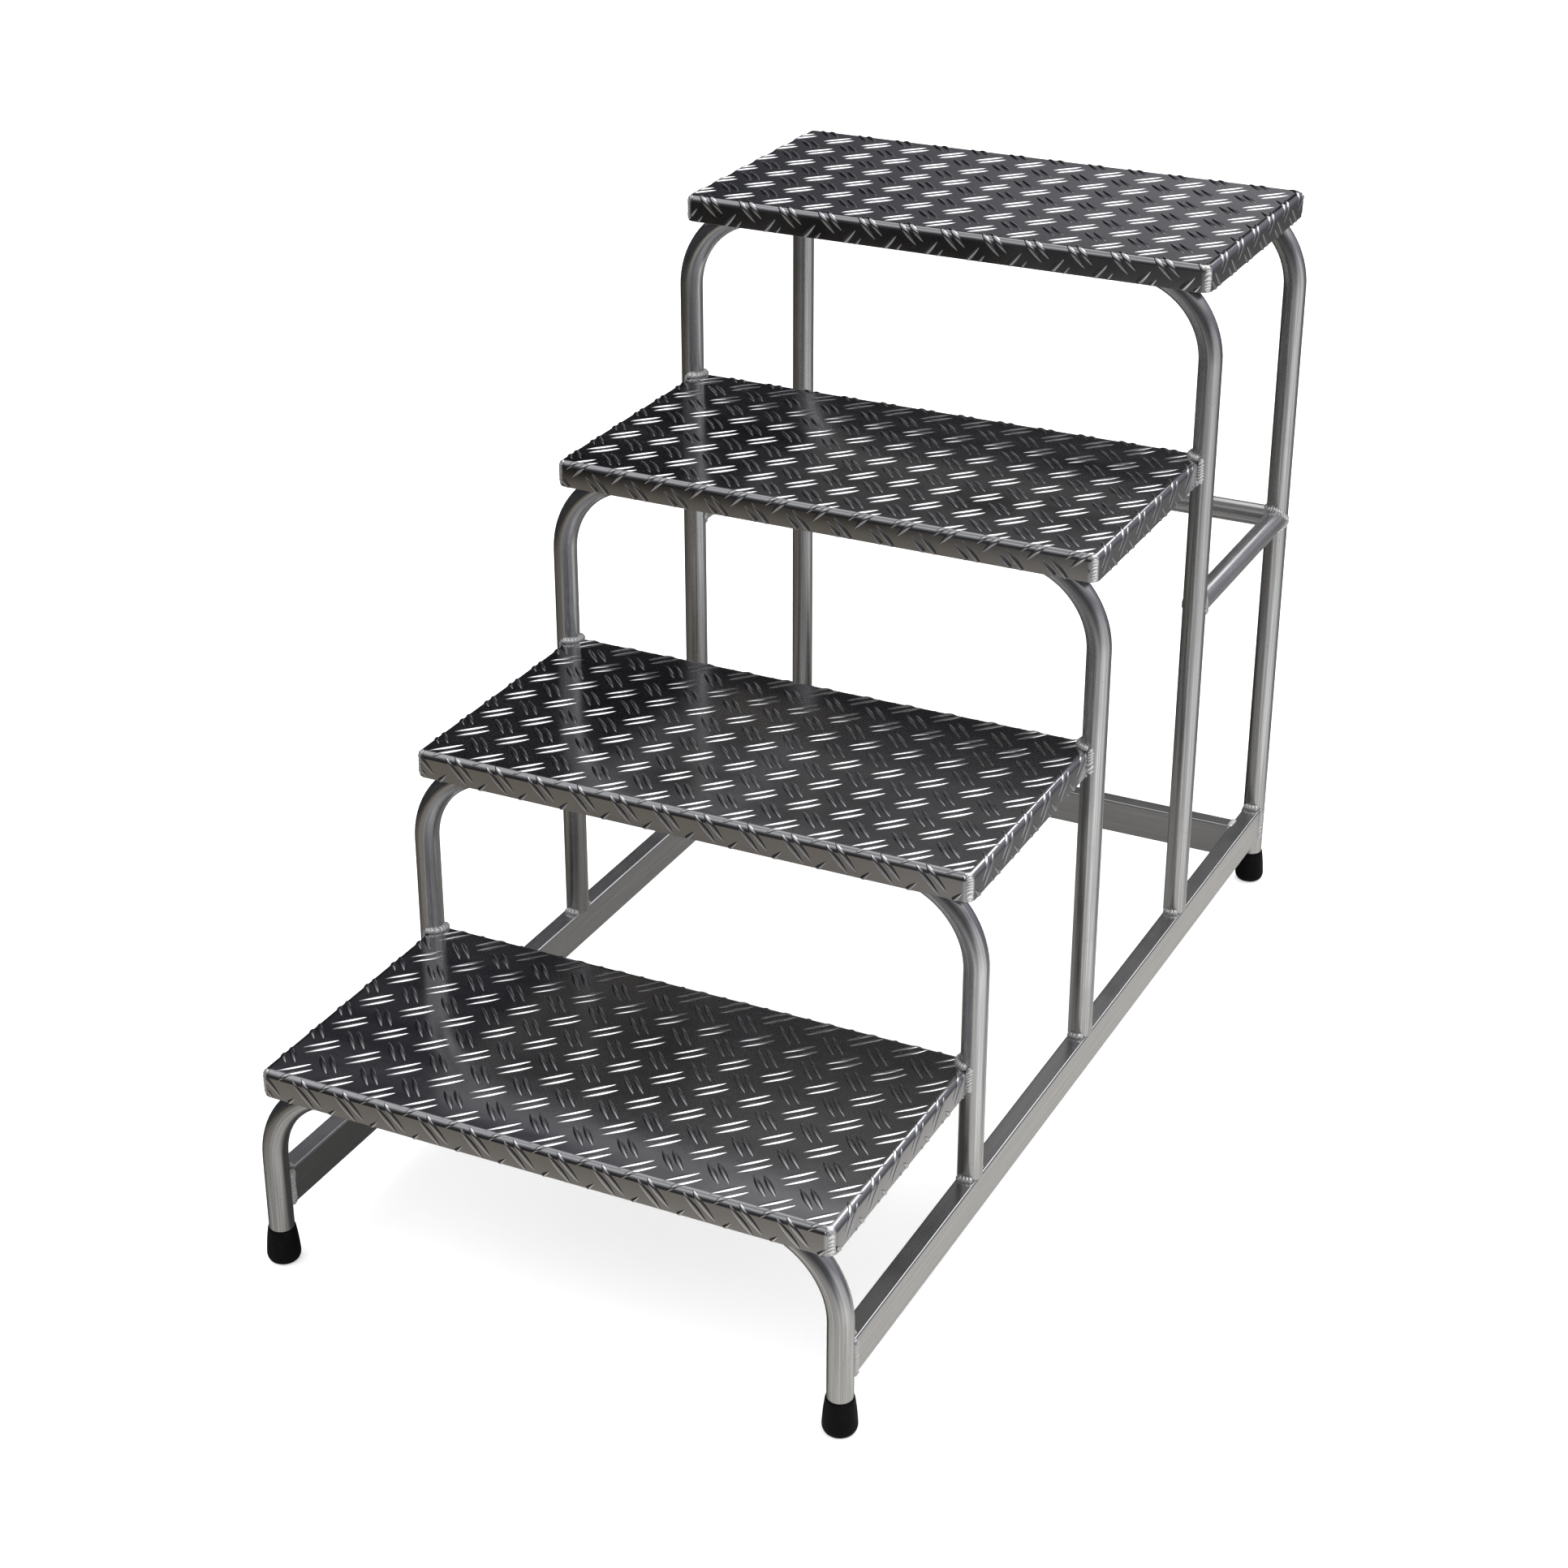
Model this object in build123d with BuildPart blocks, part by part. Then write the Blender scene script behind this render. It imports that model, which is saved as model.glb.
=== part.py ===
from build123d import *
from math import cos, radians, sin, sqrt
import os

# Four-tread aluminium mounting block. Folded checker-plate treads rest on inverted-U hoops of round
# tube. The hoops stand on a base frame of box section, and the front and the rear hoop stand on
# rubber feet.
#
# X runs across the treads, Y from the lowest tread to the highest, Z up. The origin is on the floor,
# under the middle of the whole block. Right is +X, as a rider who climbs the treads sees it.

os.makedirs("parts", exist_ok=True)

# Treads: pans folded from checker plate
tread_count = 4
tread_width = 600
tread_depth = 318
sheet = 3  # plate and studs together
flange_height = 29
fold_radius = 8  # outside radius where a flange folds down
corner_radius = 11  # outside radius of the welded and ground corners
first_height = 225
rise = 206
run = 293
seam_width = 2.4
seam_margin = 6  # the corner seams stop this far under the tread surface

# Hoops: bent round tube
tube_radius = 12.5
tube_wall = 2
bend_radius = 90  # of the tube's centre line
leg_x = 300
front_inset = 16  # tread's front edge to the hoop under it
rear_inset = 18  # last tread's rear edge to the rear hoop

# Base frame: box section
rail_width = 20
rail_height = 40
rail_wall = 2
rail_corner = 2
rail_bottom = 58.5
rail_x = 301
cross_rail_setback = 57.5  # rear hoop to the middle of the cross rail

# Bracing tubes
brace_height = 466
fit_gap = 0.2  # between a coped tube end and the leg, bridged by the weld

# Feet: rubber ferrules
foot_radius = 16.7
foot_height = 38
foot_floor = 6  # rubber under the end of the tube
foot_sole_radius = 11
foot_widest = 9
foot_rim = 1.2  # rubber thickness at the rim

# Weld metal
ring_bead = 4.5  # leg length of the fillet round a tube
ring_crown = 2.8  # how far the middle of that fillet bulges out, and up
leg_ring_start = 150  # degrees from +X, on the right: where the ring round a leg starts on a tread
leg_ring_sweep = 118
rail_ring_half = 34  # degrees to each side of the rail's length
bar_bead = 4.2  # radius of the upright beads
bead_shift = 1.3  # from the corner that a bead fills, out to the bead's middle
bead_lap = 1  # how far the upright beads beside a leg reach up into its ring bead
stitch_length = 32
stitch_radius = 3
stitch_spacing = 112.5
stitch_across = 10.25  # tube's centre to the stitch, level
stitch_up = 10.75  # tube's centre to the stitch, upwards
collar_radius = 14.9
collar_length = 5
collar_bite = 1  # overlap of a collar with the leg, before it is coped

cutter_length = 150  # longer than every piece that is trimmed with one

# Places that follow from the sizes above
last = tread_count - 1
overall_depth = last * run + tread_depth + foot_radius - front_inset
front_edge = foot_radius - front_inset - overall_depth / 2
rear_hoop_y = front_edge + last * run + tread_depth - rear_inset
rail_top = rail_bottom + rail_height
rail_middle = rail_bottom + rail_height / 2
cross_rail_y = rear_hoop_y - cross_rail_setback
inner_face = rail_x - rail_width / 2  # of a base rail
inner_width = rail_width - 2 * rail_wall
inner_height = rail_height - 2 * rail_wall
rim_radius = tube_radius + foot_rim
tread_fronts = [front_edge + run * step for step in range(tread_count)]
tread_tops = [first_height + rise * step for step in range(tread_count)]
hoop_ys = [front + front_inset for front in tread_fronts] + [rear_hoop_y]
hoop_tops = [top - sheet - tube_radius for top in tread_tops + tread_tops[-1:]]
sides = {"right": 1, "left": -1}


def direction(angle):
    """Unit vector in the floor plane, at an angle from +X."""
    return (cos(radians(angle)), sin(radians(angle)), 0)


def add_ring_bead(centre, start, sweep_angle):
    """Add a crowned fillet bead round an upright tube that meets a level face at centre."""
    radial = Vector(direction(start))
    toe = tube_radius + ring_bead
    crown = tube_radius + ring_crown
    across = radial.cross(Vector(0, 0, 1))
    with BuildSketch(Plane(origin=centre, x_dir=radial, z_dir=across)) as section:
        with BuildLine():
            Line((tube_radius, 0), (toe, 0))
            ThreePointArc((toe, 0), (crown, ring_crown), (tube_radius, ring_bead))
            Line((tube_radius, ring_bead), (tube_radius, 0))
        make_face()
    revolve(section.sketch, axis=Axis(centre, (0, 0, 1)), revolution_arc=sweep_angle)


def add_upright_bar(x, y, bottom, top):
    """Add a round upright bead, to be trimmed by the pieces that it joins."""
    with BuildSketch(Plane((x, y, bottom))) as section:
        Circle(bar_bead)
    extrude(section.sketch, amount=top - bottom)


# Hoops: one tube each, bent twice. The front and rear ones end in the feet, the others on the rails.
hoops = []
for index, (y, top) in enumerate(zip(hoop_ys, hoop_tops)):
    ends_in_foot = index in (0, tread_count)
    bottom = foot_floor if ends_in_foot else rail_top
    with BuildPart() as hoop:
        with BuildLine(Plane.XZ.offset(-y)) as path:
            FilletPolyline((-leg_x, bottom), (-leg_x, top), (leg_x, top), (leg_x, bottom), radius=bend_radius)
        with BuildSketch(Plane(path.line @ 0, z_dir=path.line % 0)):
            Circle(tube_radius)
            Circle(tube_radius - tube_wall, mode=Mode.SUBTRACT)
        sweep()
    hoop.part.label = f"hoop_{index + 1}"
    export_step(hoop.part, f"parts/hoop_{index + 1}.step")
    hoops.append(hoop.part)

# Treads: a folded pan, open below. Its corner seams are filled with weld metal, and the rear corners
# of all but the highest are notched round the legs of the hoop behind.
treads = []
for step in range(tread_count):
    front = tread_fronts[step]
    top = tread_tops[step]
    is_last = step == last
    middle = front + tread_depth / 2
    with BuildPart() as pan:
        with BuildSketch(Plane((0, middle, top - flange_height))):
            RectangleRounded(tread_width, tread_depth, corner_radius)
        extrude(amount=flange_height)
        fillet(pan.faces().sort_by(Axis.Z)[-1].edges(), fold_radius)
        offset(amount=-sheet, openings=pan.faces().sort_by(Axis.Z)[0])

    seam_ys = [front + corner_radius]
    if is_last:
        seam_ys.append(front + tread_depth - corner_radius)
    with BuildPart() as slots:
        for side in sides.values():
            for seam_y in seam_ys:
                outward_y = -1 if seam_y < middle else 1
                corner = (side * (tread_width / 2 - corner_radius), seam_y, top - flange_height)
                outward = Vector(side, outward_y, 0).normalized()
                with BuildSketch(Plane(corner, x_dir=outward, z_dir=(0, 0, 1))):
                    with Locations((corner_radius, 0)):
                        Rectangle(2 * corner_radius, seam_width)
                extrude(amount=flange_height - seam_margin)

    with BuildPart() as seams:
        add(pan.part)
        add(slots.part, mode=Mode.INTERSECT)
    seams.part.label = f"corner_welds_{step + 1}"
    export_step(seams.part, f"parts/corner_welds_{step + 1}.step")

    with BuildPart() as tread:
        add(pan.part)
        add(slots.part, mode=Mode.SUBTRACT)
        if not is_last:
            with Locations(*[(side * leg_x, hoop_ys[step + 1], top) for side in sides.values()]):
                Cylinder(tube_radius, cutter_length, mode=Mode.SUBTRACT)
    tread.part.label = f"tread_{step + 1}"
    export_step(tread.part, f"parts/tread_{step + 1}.step")
    treads.append(tread.part)

# Leg welds: each middle hoop's legs are welded into the notches of the tread in front. A ring bead
# runs on the tread, and an upright bead runs down the ends of the side flange and the rear flange.
for index in range(1, tread_count):
    y = hoop_ys[index]
    front_tread = index - 1
    top = tread_tops[front_tread]
    bottom = top - flange_height
    rear_edge = tread_fronts[front_tread] + tread_depth
    half_gap = sqrt(tube_radius**2 - (rear_edge - y) ** 2)
    with BuildPart() as leg_welds:
        for side in sides.values():
            start = leg_ring_start if side > 0 else 180 - leg_ring_start - leg_ring_sweep
            add_ring_bead((side * leg_x, y, top), start, leg_ring_sweep)
            side_bead = (side * (tread_width / 2 + bead_shift), y - tube_radius - bead_shift)
            rear_bead = (side * (leg_x - half_gap - bead_shift), rear_edge + bead_shift)
            add_upright_bar(*side_bead, bottom, top + bead_lap)
            add_upright_bar(*rear_bead, bottom, top + bead_lap)
        add(treads[front_tread], mode=Mode.SUBTRACT)
        with Locations(*[(side * leg_x, y, top) for side in sides.values()]):
            Cylinder(tube_radius, cutter_length, mode=Mode.SUBTRACT)
    leg_welds.part.label = f"leg_welds_{index + 1}"
    export_step(leg_welds.part, f"parts/leg_welds_{index + 1}.step")

# Hoop stitches: short beads in the groove between the top of a hoop and the sheet above it.
for index, (y, top) in enumerate(zip(hoop_ys, hoop_tops)):
    step = min(index, last)
    inward = 1 if index < tread_count else -1
    with BuildPart() as stitches:
        for x in (-stitch_spacing, 0, stitch_spacing):
            groove = (x - stitch_length / 2, y + inward * stitch_across, top + stitch_up)
            with BuildSketch(Plane(groove, x_dir=(0, 1, 0), z_dir=(1, 0, 0))):
                Circle(stitch_radius)
            extrude(amount=stitch_length)
        add(treads[step], mode=Mode.SUBTRACT)
        add(hoops[index], mode=Mode.SUBTRACT)
    stitches.part.label = f"hoop_stitches_{index + 1}"
    export_step(stitches.part, f"parts/hoop_stitches_{index + 1}.step")

# Base rails: box section between the front and rear legs, both ends coped to the tube.
for name, side in sides.items():
    with BuildPart() as rail:
        with BuildSketch(Plane.XZ.offset(-hoop_ys[0])):
            with Locations((side * rail_x, rail_middle)):
                RectangleRounded(rail_width, rail_height, rail_corner)
                RectangleRounded(inner_width, inner_height, rail_corner / 2, mode=Mode.SUBTRACT)
        extrude(amount=-(rear_hoop_y - hoop_ys[0]))
        with Locations((side * leg_x, hoop_ys[0], rail_middle), (side * leg_x, rear_hoop_y, rail_middle)):
            Cylinder(tube_radius, cutter_length, mode=Mode.SUBTRACT)
    rail.part.label = f"base_rail_{name}"
    export_step(rail.part, f"parts/base_rail_{name}.step")

# Rail welds: a bead up each side of both coped ends with a short ring on top, and two ring beads at
# the foot of each middle leg, where it stands on the rail.
for name, side in sides.items():
    with BuildPart() as rail_welds:
        for y, facing in ((hoop_ys[0], 1), (rear_hoop_y, -1)):
            add_ring_bead((side * leg_x, y, rail_top), 90 * facing - rail_ring_half, 2 * rail_ring_half)
            for edge in (-1, 1):
                edge_x = side * rail_x + edge * (rail_width / 2)
                reach = sqrt(tube_radius**2 - (edge_x - side * leg_x) ** 2)
                bead_x = edge_x + edge * bead_shift
                add_upright_bar(bead_x, y + facing * (reach + bead_shift), rail_bottom, rail_top)
        for y in hoop_ys[1:tread_count]:
            for facing in (-1, 1):
                add_ring_bead((side * leg_x, y, rail_top), 90 * facing - rail_ring_half, 2 * rail_ring_half)
        with BuildSketch(Plane.XZ.offset(-hoop_ys[0])):
            with Locations((side * rail_x, rail_middle)):
                RectangleRounded(rail_width, rail_height, rail_corner)
        extrude(amount=-(rear_hoop_y - hoop_ys[0]), mode=Mode.SUBTRACT)
        with Locations(*[(side * leg_x, y, rail_middle) for y in (hoop_ys[0], rear_hoop_y)]):
            Cylinder(tube_radius, cutter_length, mode=Mode.SUBTRACT)
    rail_welds.part.label = f"rail_welds_{name}"
    export_step(rail_welds.part, f"parts/rail_welds_{name}.step")

# Cross rail: between the base rails, its top level with theirs.
with BuildPart() as cross_rail:
    with BuildSketch(Plane.YZ.offset(-inner_face)):
        with Locations((cross_rail_y, rail_middle)):
            RectangleRounded(rail_width, rail_height, rail_corner)
            RectangleRounded(inner_width, inner_height, rail_corner / 2, mode=Mode.SUBTRACT)
    extrude(amount=2 * inner_face)
cross_rail.part.label = "cross_rail"
export_step(cross_rail.part, "parts/cross_rail.step")

# Cross rail welds: an upright bead in each corner with the base rail, and one across the top.
with BuildPart() as cross_rail_welds:
    for side in sides.values():
        for edge in (-1, 1):
            corner_y = cross_rail_y + edge * (rail_width / 2 + bead_shift)
            add_upright_bar(side * (inner_face - bead_shift), corner_y, rail_bottom, rail_top)
        with BuildSketch(Plane.XZ.offset(-(cross_rail_y - rail_width / 2))):
            with Locations((side * inner_face, rail_top - bead_shift)):
                Circle(bar_bead)
        extrude(amount=-rail_width)
    with Locations((0, cross_rail_y, rail_middle)):
        Box(2 * inner_face, rail_width, rail_height, mode=Mode.SUBTRACT)
    with Locations(*[(side * rail_x, cross_rail_y, rail_middle) for side in sides.values()]):
        Box(rail_width, cutter_length, rail_height, mode=Mode.SUBTRACT)
cross_rail_welds.part.label = "cross_rail_welds"
export_step(cross_rail_welds.part, "parts/cross_rail_welds.step")

# Side tubes: round braces between the last two hoops, both ends fish-mouthed to the legs.
for name, side in sides.items():
    start_y = hoop_ys[last]
    length = rear_hoop_y - start_y
    with BuildPart() as side_tube:
        with BuildSketch(Plane.XZ.offset(-start_y)):
            with Locations((side * leg_x, brace_height)):
                Circle(tube_radius)
                Circle(tube_radius - tube_wall, mode=Mode.SUBTRACT)
        extrude(amount=-length)
        with Locations((side * leg_x, start_y, brace_height), (side * leg_x, rear_hoop_y, brace_height)):
            Cylinder(tube_radius + fit_gap, cutter_length, mode=Mode.SUBTRACT)
    side_tube.part.label = f"side_tube_{name}"
    export_step(side_tube.part, f"parts/side_tube_{name}.step")

# Cross tube: between the rear legs, fish-mouthed to them and cut back where the side tubes arrive.
with BuildPart() as cross_tube:
    with BuildSketch(Plane.YZ.offset(-leg_x)):
        with Locations((rear_hoop_y, brace_height)):
            Circle(tube_radius)
            Circle(tube_radius - tube_wall, mode=Mode.SUBTRACT)
    extrude(amount=2 * leg_x)
    for side in sides.values():
        with Locations((side * leg_x, rear_hoop_y, brace_height)):
            Cylinder(tube_radius + fit_gap, cutter_length, mode=Mode.SUBTRACT)
        with BuildSketch(Plane.XZ.offset(-rear_hoop_y)):
            with Locations((side * leg_x, brace_height)):
                Circle(tube_radius + fit_gap)
        extrude(amount=cutter_length, mode=Mode.SUBTRACT)
cross_tube.part.label = "cross_tube"
export_step(cross_tube.part, "parts/cross_tube.step")

# Brace welds: a collar of weld metal round each end of the bracing tubes, where it meets the leg.
with BuildPart() as side_tube_welds:
    for side in sides.values():
        for leg_y, inward in ((hoop_ys[last], 1), (rear_hoop_y, -1)):
            collar_y = leg_y + inward * (tube_radius - collar_bite)
            with BuildSketch(Plane.XZ.offset(-collar_y)):
                with Locations((side * leg_x, brace_height)):
                    Circle(collar_radius)
                    Circle(tube_radius, mode=Mode.SUBTRACT)
            extrude(amount=-inward * collar_length)
            with Locations((side * leg_x, leg_y, brace_height)):
                Cylinder(tube_radius, cutter_length, mode=Mode.SUBTRACT)
    with BuildSketch(Plane.YZ.offset(-leg_x)):
        with Locations((rear_hoop_y, brace_height)):
            Circle(tube_radius)
    extrude(amount=2 * leg_x, mode=Mode.SUBTRACT)
side_tube_welds.part.label = "side_tube_welds"
export_step(side_tube_welds.part, "parts/side_tube_welds.step")

with BuildPart() as cross_tube_welds:
    for side in sides.values():
        collar_x = side * (leg_x - tube_radius - collar_length + collar_bite)
        with BuildSketch(Plane.YZ.offset(collar_x)):
            with Locations((rear_hoop_y, brace_height)):
                Circle(collar_radius)
                Circle(tube_radius, mode=Mode.SUBTRACT)
        extrude(amount=side * collar_length)
        with Locations((side * leg_x, rear_hoop_y, brace_height)):
            Cylinder(tube_radius, cutter_length, mode=Mode.SUBTRACT)
        with BuildSketch(Plane.XZ.offset(-rear_hoop_y)):
            with Locations((side * leg_x, brace_height)):
                Circle(collar_radius)
        extrude(amount=cutter_length, mode=Mode.SUBTRACT)
cross_tube_welds.part.label = "cross_tube_welds"
export_step(cross_tube_welds.part, "parts/cross_tube_welds.step")

# Feet: rubber ferrules, widest near the floor and thin at the rim, pushed on over the tube ends.
for place, y in (("front", hoop_ys[0]), ("rear", rear_hoop_y)):
    for name, side in sides.items():
        with BuildPart() as foot:
            with BuildSketch(Plane((side * leg_x, y, 0), x_dir=(1, 0, 0), z_dir=(0, -1, 0))):
                with BuildLine():
                    Line((0, 0), (foot_sole_radius, 0))
                    TangentArc((foot_radius, foot_widest), (foot_sole_radius, 0), tangent=(0, -1))
                    Line((foot_radius, foot_widest), (rim_radius, foot_height - foot_rim))
                    Line((rim_radius, foot_height - foot_rim), (tube_radius, foot_height))
                    Polyline((tube_radius, foot_height), (tube_radius, foot_floor), (0, foot_floor), (0, 0))
                make_face()
            revolve(axis=Axis((side * leg_x, y, 0), (0, 0, 1)))
        foot.part.label = f"foot_{place}_{name}"
        export_step(foot.part, f"parts/foot_{place}_{name}.step")
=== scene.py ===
from math import cos, exp, pi, radians, sin, sqrt

import bpy
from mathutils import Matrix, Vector
from mathutils.kdtree import KDTree


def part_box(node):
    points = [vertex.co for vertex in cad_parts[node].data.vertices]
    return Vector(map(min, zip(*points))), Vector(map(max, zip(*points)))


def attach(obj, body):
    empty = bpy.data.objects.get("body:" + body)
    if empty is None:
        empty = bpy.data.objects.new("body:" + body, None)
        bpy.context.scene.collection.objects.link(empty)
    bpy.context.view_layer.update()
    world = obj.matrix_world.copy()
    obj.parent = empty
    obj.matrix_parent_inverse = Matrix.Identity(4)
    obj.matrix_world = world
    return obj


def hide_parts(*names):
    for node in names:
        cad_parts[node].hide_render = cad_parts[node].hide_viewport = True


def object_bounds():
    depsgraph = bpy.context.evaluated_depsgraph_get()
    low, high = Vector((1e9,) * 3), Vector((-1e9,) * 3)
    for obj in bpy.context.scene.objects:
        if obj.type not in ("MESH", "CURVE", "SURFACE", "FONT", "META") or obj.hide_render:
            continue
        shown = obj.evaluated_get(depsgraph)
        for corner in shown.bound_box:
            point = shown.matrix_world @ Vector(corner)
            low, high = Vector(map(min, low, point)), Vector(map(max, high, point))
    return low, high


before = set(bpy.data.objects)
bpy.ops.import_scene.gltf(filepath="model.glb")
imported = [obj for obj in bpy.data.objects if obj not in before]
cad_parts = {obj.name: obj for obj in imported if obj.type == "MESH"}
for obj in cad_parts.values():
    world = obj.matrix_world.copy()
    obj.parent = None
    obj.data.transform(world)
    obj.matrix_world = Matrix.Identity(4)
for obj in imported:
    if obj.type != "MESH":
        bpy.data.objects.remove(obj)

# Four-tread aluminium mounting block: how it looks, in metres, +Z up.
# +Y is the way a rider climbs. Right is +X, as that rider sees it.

cad_low, cad_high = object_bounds()
MM = 0.001

# Treads
SHEET = 3 * MM  # plate and studs together
STUD_HEIGHT = 1.2 * MM
PLATE = SHEET - STUD_HEIGHT
FOLD_RADIUS = 8 * MM - STUD_HEIGHT  # of the plate's own outer face
CORNER_RADIUS = 11 * MM - STUD_HEIGHT
EDGE_BREAK = 0.3 * MM
FLAT_MARGIN = 1 * MM  # between a fold and the first outline on the flat
NOTCH_MARGIN = 10 * MM  # how far the cut for a leg runs past the tread, above and below
FOLD_STEPS = 10
CORNER_STEPS = 8

# Studs: each cell of the pattern has a pair of rising bars, and a falling pair half a cell on
STUD_LENGTH = 36.5 * MM
STUD_WIDTH = 6.6 * MM
STUD_ANGLE = radians(47)
STUD_SINK = 0.2 * MM
STUD_TIP = 0.995  # where a bar is cut off, as a share of its half length
# powers by which a bar narrows and falls towards its tips, falls to its sides, and loses its polish and takes
# painted shade
NARROWING = 0.85
TIP_FALL = 0.6
SIDE_FALL = 2.3
POLISH_AND_SHADE_FALL = 0.15
BARE_CROWN = 0.2  # polish at the foot of a bar, where 1 is its crown; this low crown also gets painted shade
STUD_ROWS = 16
FOLDED_STUD_ROWS = 32
FEWEST_STUD_ROWS = 4  # a bar that an edge cuts off shorter than this is left out
STUD_FACETS = 8
PATTERN_REACH = 16  # cells each way from the middle
RISING_GAP = (6.5 * MM, -7.7 * MM)  # from one bar of a rising pair to the other
FALLING_GAP = (8.0 * MM, 4.5 * MM)
PITCH = (46.03 * MM, 47.82 * MM)
WIDE_PITCH = (47.23 * MM, 50.93 * MM)
# for each tread: pattern pitch, and a rising pair's middle from the tread's middle and front edge
PATTERNS = [
    (PITCH, (98.6 * MM, 158.2 * MM)),
    (PITCH, (96.9 * MM, 160.5 * MM)),
    (PITCH, (96.6 * MM, 148.4 * MM)),
    (WIDE_PITCH, (179.4 * MM, 178.4 * MM)),
]

# Tubes and rails
BEND_RADIUS = 90 * MM
TUBE_SIDES = 56
BEND_STEPS = 20
RUN_STEP = 9 * MM
GRAIN_SHIFT = 2  # from one hoop to the next, so that no two have the same marks

# Weld beads
RIPPLE = 3.6 * MM  # from one ripple of a bead to the next
RIPPLE_BOW = 0.55  # how far the middle of a ripple runs ahead of its ends, in ripples
RIPPLE_WANDER = ((0.35, 7.1 * MM, 1), (0.2, 2.9 * MM, 2.3))  # waves: ripples, length, share of the seed
RIPPLE_POWER = 0.7  # below 1 for broad crests and narrow grooves
RIPPLE_DEPTH = 0.5  # share of a bead's height
RIPPLE_STEPS = 7
FEWEST_BEAD_ROWS = 8
BEAD_SIDES = 10
BEAD_ROUNDNESS = 0.6
BEAD_BLUNTNESS = 0.04  # share of the width that is left at the very end of a bead
BEAD_ROOT = 0.7  # share of the width that is left below the surface
BEAD_DEPTH = 1.2 * MM
SWELLING = (0.09, 5.3 * MM, 1.7)  # share of the width, length, share of the seed
# leg lengths of the rings round a leg: on a tread, at the ends of a rail, along a rail
FILLET = 5.6 * MM
RAIL_END_FILLET = 6.2 * MM
RAIL_FILLET = 5.2 * MM
RING_PROFILE = (1.41, 0.32, 0.5)  # width, height and depth of a ring, in leg lengths
RING_START = 150  # degrees from +X, for a leg on the right
RING_SWEEP = 118
RAIL_RING_SWEEP = 68
RING_STEPS = 24
SADDLE_STEPS = 56
SEAM_STEPS = 8
SEAM_ARC_STEP = radians(11)
SEAM_DEPTH = 0.55 * MM  # how far a corner seam's middle line lies below the plate's face
STITCH_LENGTH = 32 * MM
STITCH_SPACING = 112.5 * MM
STITCH_PLACE = (0.8, 0.82)  # inward and up from the tube's middle line, in tube radii
# widths and heights
CORNER_SEAM = (8.2 * MM, 1.7 * MM)
LEG_OUTER_BEAD = (10 * MM, 3.2 * MM)
LEG_INNER_BEAD = (7.5 * MM, 2.2 * MM)
STITCH = (5.5 * MM, 1.6 * MM)
RAIL_END_BEAD = (10 * MM, 3 * MM)
CROSS_RAIL_SIDE_BEAD = (6.5 * MM, 1.5 * MM)
CROSS_RAIL_TOP_BEAD = (8.5 * MM, 1.9 * MM)
SADDLE = (6.5 * MM, 2.1 * MM)
LUMP = (12 * MM, 5 * MM)
HEAT_REACH = 9 * MM

# Feet
FOOT_SIDES = 72
FOOT_ROUNDING_STEPS = 10
FOOT_WALL_STEPS = 8

# Studio, as gloss sees it: colours against the sine of the height above the horizon
ZENITH = [(0.82, (0.80, 0.80, 0.81)), (0.93, (0.36, 0.36, 0.365))]
UPPER_WALLS = [(0.60, (0.42, 0.42, 0.42)), (0.68, (0.75, 0.75, 0.76))] + ZENITH
WALLS_RIGHT = [
    (0.02, (0.10, 0.10, 0.12)), (0.16, (0.20, 0.20, 0.22)), (0.285, (0.27, 0.27, 0.285)),
    (0.318, (0.020, 0.020, 0.022)), (0.40, (0.010, 0.010, 0.011)),
    (0.47, (0.032, 0.032, 0.033)), (0.50, (0.050, 0.050, 0.050)), (0.53, (0.14, 0.138, 0.133)),
    (0.56, (0.25, 0.248, 0.243)),
] + UPPER_WALLS
WALLS_MIDDLE = [
    (0.02, (0.020, 0.020, 0.022)), (0.30, (0.020, 0.020, 0.022)), (0.45, (0.030, 0.030, 0.031)),
    (0.52, (0.12, 0.12, 0.118)),
] + UPPER_WALLS
WALLS_FAR_RIGHT = [
    (0.02, (0.16, 0.16, 0.19)), (0.20, (0.22, 0.22, 0.25)), (0.40, (0.26, 0.26, 0.30)),
    (0.52, (0.42, 0.42, 0.44)), (0.60, (0.60, 0.60, 0.61)),
] + ZENITH
WALLS_LEFT = [
    (0.02, (0.015, 0.015, 0.02)), (0.275, (0.020, 0.021, 0.030)), (0.318, (0.004, 0.004, 0.006)),
    (0.47, (0.006, 0.006, 0.008)), (0.54, (0.022, 0.023, 0.030)), (0.60, (0.12, 0.12, 0.14)),
    (0.70, (0.45, 0.45, 0.47)), (0.82, (0.70, 0.70, 0.72)), (0.93, (0.33, 0.33, 0.34)),
]
WALLS_FRONT = [
    (0.02, (0.03, 0.03, 0.035)), (0.30, (0.035, 0.035, 0.04)), (0.45, (0.06, 0.06, 0.065)),
    (0.54, (0.32, 0.32, 0.33)), (0.63, (0.20, 0.20, 0.21)), (0.82, (0.66, 0.66, 0.67)),
    (0.93, (0.33, 0.33, 0.335)),
]
LOWER_BACK_RIGHT = [
    (-1.0, (0.60, 0.60, 0.59)), (-0.60, (0.30, 0.30, 0.295)), (-0.50, (0.20, 0.20, 0.197)),
    (-0.42, (0.17, 0.17, 0.168)), (-0.34, (0.165, 0.165, 0.165)), (-0.26, (0.09, 0.09, 0.09)),
]
LOWER_BACK_LEFT = [
    (-1.0, (0.20, 0.20, 0.20)), (-0.60, (0.08, 0.08, 0.08)), (-0.45, (0.04, 0.04, 0.042)),
    (-0.20, (0.02, 0.02, 0.023)),
]
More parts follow.
